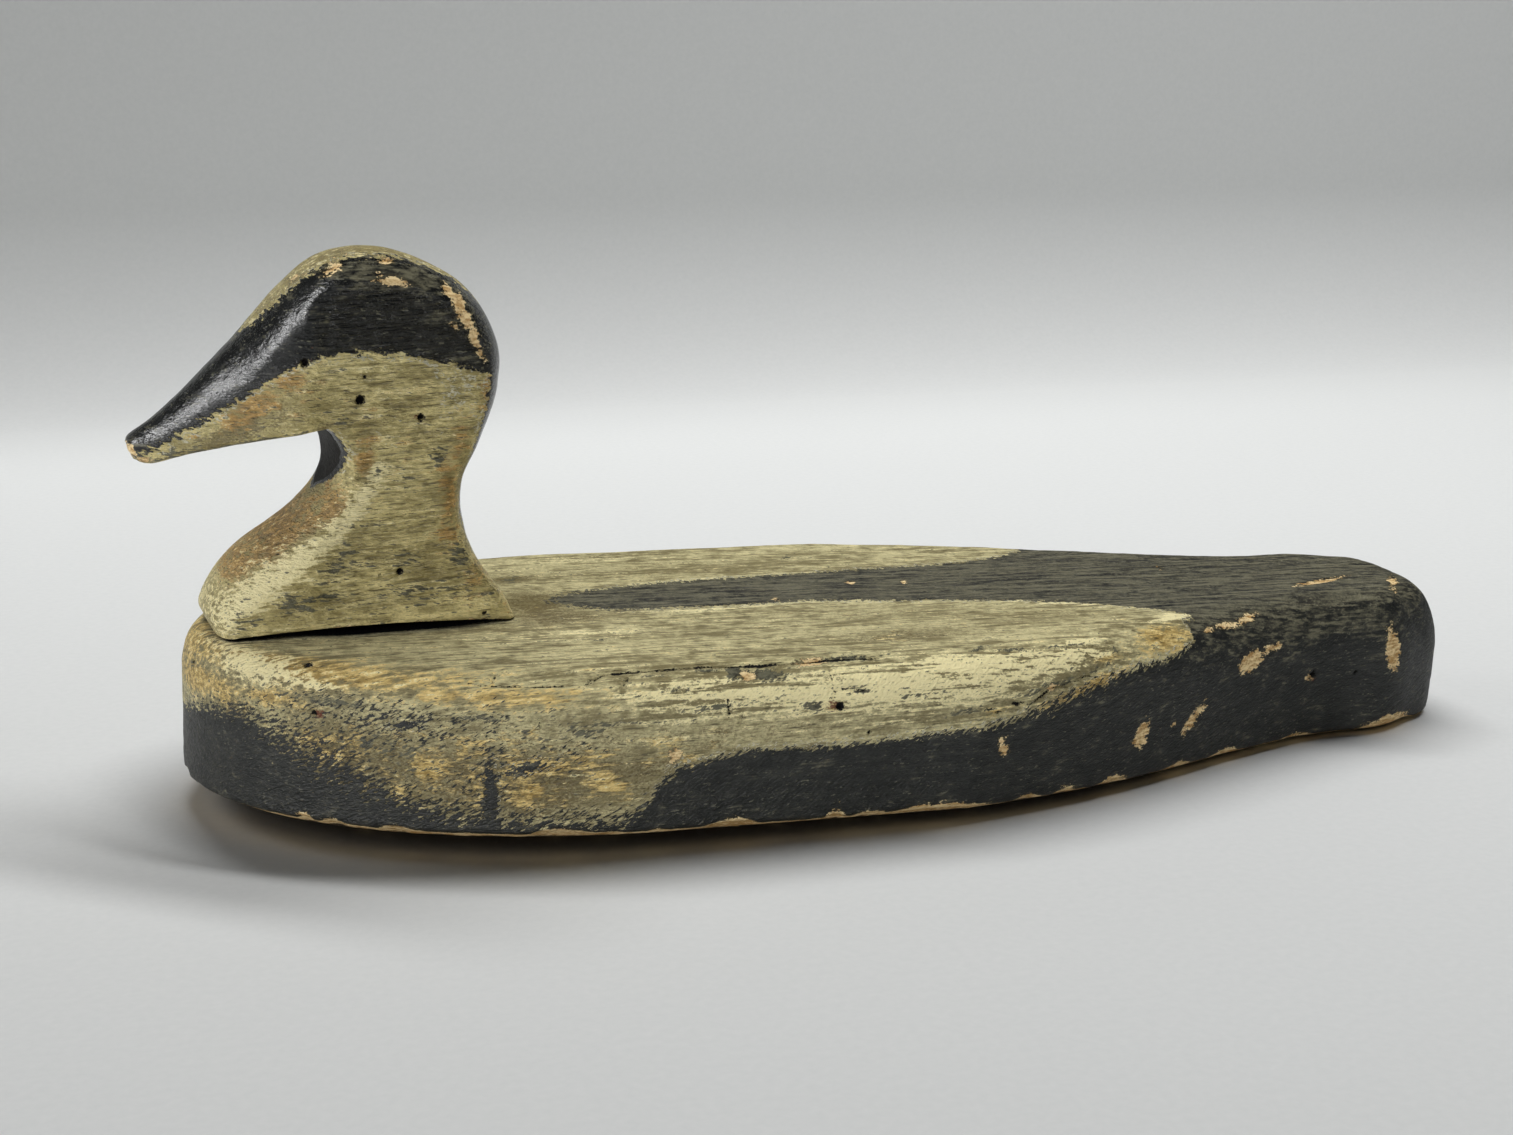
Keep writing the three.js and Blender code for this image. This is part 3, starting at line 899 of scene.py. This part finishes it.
# Sections from the seat up the neck, over the crown and out along the bill: the front end and the back end
# as [along, up] from the seat's middle, half the thickness, and how far the corners are pared at each end
head_sections = [
    ((-50, 0), (51, 0), head_half, (5, 12), (4, 7)),
    ((-52.6, 8), (47.8, 8), head_half, (10.5, 19), (5, 11)),
    ((-44, 23.5), (38.6, 22.5), head_half, (26, 22), (8, 15)),
    ((-23.6, 37.8), (34.8, 36), head_half, (20, 21.5), (9, 17)),
    ((-12.4, 49.8), (35.6, 48.5), 22.6, (13, 20.5), (10, 18)),
    ((-10.6, 60), (41.3, 61), 22.6, (7, 19), (10, 18)),
    ((-13, 67.8), (48.1, 79.5), head_half, (4, 9), (12, 19)),
    ((-15.6, 68), (47.8, 96), head_half, (3, 4), (13, 21)),
    ((-17.2, 67.6), (36, 114.3), head_half, (3, 4), (15, 22.4)),
    ((-19.8, 67), (13, 125.1), head_half, (3, 4), (16, 22.4)),
    ((-24.5, 66), (-8, 124.3), 22.8, (3, 4), (17, 22)),
    ((-32, 64.5), (-23.6, 114.2), 20.5, (3, 4), (19, 19.8)),
    ((-44, 62.2), (-39.2, 97.2), 16, (3, 4), (19, 15.3)),
    ((-56, 59.6), (-54, 82.6), 12, (3, 3.5), (13, 11.3)),
    ((-67, 56.6), (-67, 70.8), 8.5, (3, 3), (8.5, 7.9)),
    ((-72.4, 57.2), (-73.8, 65.8), 5.6, (2.6, 4), (3.4, 5)),
    ((-74.6, 59.8), (-75.2, 63.6), 2.6, (1.2, 2), (1.3, 2.2)),
]
head_steps, corner_steps, cheek_steps = 370, 25, 78
bill_root, bill_tip = 10, 16
bill_flatness = 0.1


def head_rings():
    """Rings over the head's sections, in its own along, across and up, with the count of sections passed
    and the share of the way from front to back."""
    count = len(head_sections) - 1
    at = np.linspace(0, count, head_steps + 1)
    measures = curve_through([np.hstack(row) for row in head_sections], at, "extend")
    front, back, half, front_pared, back_pared = np.split(measures, (2, 4, 5, 7), axis=1)
    half = half[:, 0]
    length = np.linalg.norm(back - front, axis=1)
    across = (back - front) / length[:, None]
    flat = 1 + bill_flatness * ease(bill_root, bill_root + 2, at) * ease(bill_tip, bill_tip - 2, at)
    lengthwise, thick = [0 * length], [0 * length]
    for turn in np.linspace(0, math.pi / 2, corner_steps + 1):
        lengthwise.append(front_pared[:, 0] * (1 - math.cos(turn)))
        thick.append(half - front_pared[:, 1] * (1 - math.sin(turn)))
    for step in range(1, cheek_steps):
        lengthwise.append(between(front_pared[:, 0], length - back_pared[:, 0], step / cheek_steps))
        thick.append(half)
    for turn in np.linspace(0, math.pi / 2, corner_steps + 1):
        lengthwise.append(length - back_pared[:, 0] * (1 - math.sin(turn) ** flat))
        thick.append(half - back_pared[:, 1] * (1 - max(math.cos(turn), 0) ** flat))
    lengthwise.append(length)
    thick.append(0 * length)
    lengthwise, thick = np.array(lengthwise).T, np.array(thick).T
    share = lengthwise / length[:, None]
    arch = seat_arch * np.maximum(0, 1 - at)[:, None] * 4 * share * (1 - share)
    along = front[:, :1] + across[:, :1] * lengthwise
    up = front[:, 1:] + across[:, 1:] * lengthwise + arch
    near = np.stack([along, -thick, up, share], -1)
    far = np.stack([along, thick, up, share], -1)[:, -2:0:-1]
    both = np.concatenate([near, far], 1)
    return both[..., :3], np.broadcast_to(at[:, None], both.shape[:2]), both[..., 3], half


head_mesh, section, rearward, head_halves = head_rings()
fore, across, rise = np.moveaxis(head_mesh.copy(), -1, 0)
off_centre = np.abs(across)
cheek_starts, cheek_full = 2.2, 0.3
skin_half = head_halves[:, None]
cheek = ease(skin_half - cheek_starts, skin_half - cheek_full, off_centre)
behind_bill = ease(-20, -12, fore)
near_fore = np.where(across < 0, fore, out_of_reach)
far_fore = np.where(across > 0, fore, out_of_reach)

# The black cap and bill, the black down the nape and in the throat, deepened there by painted shade under
# the bill, and the cream stripe over the crown
cap_edge = [
    (-76, 57), (-70, 59.5), (-60, 66), (-50, 72), (-40, 79), (-30, 85.5), (-25, 88.5), (-20, 91.3),
    (-15, 92.6), (-5, 93.6), (5, 93.2), (12, 92.4), (20, 91), (30, 88.5), (38, 86), (50, 82),
]
stripe_half = [(6.6, -6), (7.2, 5), (8, 9.5), (9, 11.5), (10, 12), (11, 10), (11.7, 5), (12.2, -6)]
nape_half = [(1, -6), (1.6, 7), (2, 12), (3, 17), (4, 15), (5, 19), (6, 21.2), (7, 21.4), (8, 21.4), (9, -20)]
throat_half = [(3.4, -6), (4, 11), (4.5, 17), (5, 20), (5.8, 20), (6.4, 9), (7, -6)]
cap_lean = 0.86
nape_top = 93
plain_fray, foot_fray, bill_fray, stripe_fray = 1.0, 1.6, 1.2, 1.4

cap = (rise - read_off(cap_edge, fore)) * cap_lean
crown_stripe = np.where(rearward > 0.5, read_off(stripe_half, section) - off_centre, outside)
cap = np.minimum(cap, -crown_stripe)
nape = np.where(rearward > 0.6, read_off(nape_half, section) - off_centre, outside)
nape = np.minimum(nape, nape_top - rise)
throat_black_and_shade = np.where(rearward < 0.4, read_off(throat_half, section) - off_centre, outside)
head_black = np.maximum(np.maximum(cap, nape), throat_black_and_shade)
head_fray = plain_fray + foot_fray * ease(3.5, 2.5, section) + bill_fray * ease(-45, -60, fore)
head_fray += stripe_fray * (crown_stripe > -4)

head_ochre = wash(fore, rise, [
    (-38, 75.5, 12, 4.6, 1, 32), (-25, 85, 6, 3.2, 0.95, 28), (-56, 66, 9, 3, 0.4, 30),
    (-20, 78, 8, 5, 0.4, 20), (-1, 58, 4.4, 12, 0.75), (-2, 66, 3, 3, 0.6), (-28, 33, 19, 7, 1.05, 38),
    (-12, 42, 8, 6, 0.95, 50), (-41, 23, 9, 7, 0.9, 50), (27, 44, 4, 14, 0.9, 4), (31, 63, 4, 10, 0.75, -10),
    (40, 78, 4, 9, 0.75), (37, 17, 6, 8, 0.55, -40), (26, 32, 5, 8, 0.7), (14, 63, 9, 4, 0.3),
    (46, 5, 4, 5, 0.5),
])
head_umber = wash(fore, rise, [
    (-40, 68, 34, 9, 0.6, 30), (-45, 66, 26, 6, 1, 32), (-30, 74, 22, 8, 0.65, 30),
    (-15, 38, 10, 7, 0.7, 40), (18, 120, 12, 4, 0.8, -20), (-52, 61, 14, 4, 0.6, 10),
    (-30, 64, 14, 3, 0.5, 10), (34, 100, 8, 12, 0.5, 60), (-46, 16, 6, 9, 0.5), (44, 12, 6, 8, 0.5),
    (33, 50, 3, 14, 0.6), (-8, 70, 4, 3, 0.6), (-14, 58, 5, 14, 0.9),
])
head_slate = wash(fore, rise, [
    (-20, 11, 13, 4.5, 0.75, 8), (-10, 24, 8, 5, 0.62, 42), (16, 12, 26, 7, 0.3), (-40, 6, 8, 3, 0.55),
    (24, 58, 2.4, 4, 0.75, -30), (-8, 71, 3, 2, 0.8), (30, 24, 5, 6, 0.6), (3, 53, 1.2, 2.4, 0.6),
    (-4, 34, 4, 8, 0.4, -35), (38, 33, 4, 14, 0.5), (40, 1.5, 2, 1.6, 0.8), (-44, 3, 4, 3, 0.5),
    (13, 22, 8, 5, 0.4), (-60, 61, 10, 2, 0.6, 12), (-45, 62, 28, 1.5, 0.9, 11),
])
# A pale band along the breast ridge, partly worn cream and partly painted highlight, and thin pale lines by
# the cap's edge
breast_ridge = [(3, 54), (-3, 44), (-9, 36), (-17, 29), (-27, 22), (-38, 14.5), (-46, 8)]
ridge_wide, ridge_narrow, ridge_strength = 6.5, 3.4, 0.95
ridge_width = between(ridge_wide, ridge_narrow, ease(-40, 0, fore))
head_pale = np.maximum(
    ridge_strength * np.exp(-(line_distance(fore, rise, breast_ridge) / ridge_width) ** 2),
    wash(fore, rise, [(-4, 96.7, 7, 0.8, 1.3), (12, 93.6, 1.6, 1.6, 0.9), (0, 88, 20, 3, 0.3)]),
)
in_stripe = ease(-3, 2, crown_stripe)
stripe_pale, stripe_umber = 0.25, 0.75
head_pale = np.maximum(head_pale, stripe_pale * in_stripe)
head_umber = np.maximum(head_umber, stripe_umber * in_stripe)
head_dulled = wash(fore, rise, [
    (10, 117.5, 22, 5, 1, -8), (-6, 120, 10, 3, 0.5, 25), (34, 104, 8, 12, 0.5, 60), (-72, 61, 5, 4, 0.7),
])
head_chips = spots(fore, rise, [
    (8.6, 116.6, 5.2, 1.5, -12), (4.6, 118.6, 1.8, 1.2), (8, 122.4, 2, 0.9), (-9, 121, 3.6, 1.1, 32),
    (28, 112.5, 2.8, 1.4, -60), (31.5, 108, 3.6, 2.4, -60), (34, 103, 3.4, 2.4, -70),
    (36.4, 97.5, 3.4, 2, -70), (38.2, 92.6, 2.6, 1, -60), (29.6, 101.2, 1.5, 1), (-74, 60.5, 1.5, 2.6, 20),
    (-71, 58, 2, 1.2), (-21, 117, 2, 0.8, 30),
])
far_chips = spots(fore, rise, [
    (20, 112, 4, 2, -20), (40, 96, 4, 2, -70), (-5, 80, 1.6, 1), (-30, 96, 3, 1, 40),
])

# Chips lie well out on the side that they are meant for, and only the bill's worn tip has them all over
tip_section, chip_margin = 13, 3
head_chips = np.where((section < tip_section) & (across >= -chip_margin), outside, head_chips)
head_chips = np.where(across > chip_margin, np.maximum(head_chips, far_chips), head_chips)
seat_wear, seat_wear_fade, seat_unevenness = -0.5, 12, (0.9, 6, 31)
seat_waves = lumps(np.stack([fore, across, 0 * fore], -1), *seat_unevenness)
head_bare = np.maximum(head_chips, seat_waves + seat_wear - section * seat_wear_fade)

# Relief: the unevenness of knife work, saw marks across the cheeks, chips and shot holes
sawn_from, sawn_fully = 4, 12
saw_slope = 0.05
sawn = cheek * behind_bill * ease(sawn_from, sawn_fully, rise)
local = np.stack([fore, across, rise + saw_slope * fore], -1)
head_lumps = [
    (1, 0.3, (22, 18, 15), 21), (1, 0.1, (7, 7, 5), 22), (sawn, 0.26, (15, 40, 2.1), 23),
    (sawn, 0.1, (9, 40, 1.4), 24), (1, 0.05, (2.2, 2.2, 1.6), 25),
]
head_chip_depth, head_chip_unevenness = 0.34, (0.4, 1.4, 26)
head_inset = 0.4
seat_ends = 0.02
throat_fold_at, throat_fold_reach = (-17, 67), (3, 12)

head_relief = sum(where * lumps(local, *row) for where, *row in head_lumps) - head_inset
ragged_chips = head_chips + lumps(local, *head_chip_unevenness)
head_relief -= head_chip_depth * ease(-0.3, 0.4, ragged_chips)
fold_distance = np.hypot(fore - throat_fold_at[0], rise - throat_fold_at[1])
seat_flat = ease(seat_ends, 0.5, section)
head_normal = ring_normals(head_mesh)
head_moved = head_relief * ease(*throat_fold_reach, fold_distance) * seat_flat
head_mesh += head_normal * head_moved[..., None]
near_holes = [
    (-20.4, 90.4, 1.35, 2.4), (-2.6, 77.5, 1.6, 3), (17.6, 71.2, 1.25, 2.2), (10, 19.2, 1.1, 2.2),
    (-29.5, 27, 0.7, 1.4), (38.6, 2.4, 0.8, 1.2), (-0.8, 85.4, 0.6, 0.8), (3.4, 18.6, 0.45, 0.8),
]
far_holes = [(8, 82, 1.2, 2.2), (2, 40, 1.1, 2)]
head_pit = np.maximum(
    sink_holes(head_mesh, head_normal, near_fore, rise, near_holes),
    sink_holes(head_mesh, head_normal, far_fore, rise, far_holes),
)
# The head's seat and the middle of the throat take the near-black pit colour: painted shade under the head
# and under the bill
seat_shade, throat_shade_inset = 1.0, 3
head_pit = np.maximum(head_pit, np.where(section < seat_ends, seat_shade, throat_black_and_shade - throat_shade_inset))
head_rust = wash(near_fore, rise, [
    (17, 71.2, 2.4, 1.8, 0.75), (-2.6, 77.5, 2, 1.9, 0.4), (-19, 91, 2.6, 1.4, 0.3),
])

fore, across, rise = np.moveaxis(head_mesh, -1, 0)
on_plank = np.stack([
    head_station + fore * yaw_cos - across * yaw_sin,
    head_offset + fore * yaw_sin + across * yaw_cos,
    plank_thickness + seat_gap + rise,
], -1)
head = skinned(
    "head", stand(on_plank), *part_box("head"), black=head_black, fray=head_fray, ochre=head_ochre,
    umber=head_umber, slate=head_slate, pale=head_pale, dulled=head_dulled, bare=head_bare, pit=head_pit,
    rust=head_rust, sawn=sawn,
)
head_colours = {
    **body_colours,
    "cream": ("9f925f", "eadb9c"),
    "umber": "6c603c",
    "ochre": ("7c6031", "c69e5a"),
    "black": ("191a1a", "2c2d2c"),
}
head_finish = (0.5, 0.15, 0.6)
head_dabs, head_dab_lean = (4, 2.2, 1.2), 18
head_smoothness = 0.75
head.data.materials.append(worn_paint(
    "head_paint", head_colours, head_finish, head_dabs, head_dab_lean, head_smoothness, sawn_cheeks=True
))
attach(head, "root")
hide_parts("head")
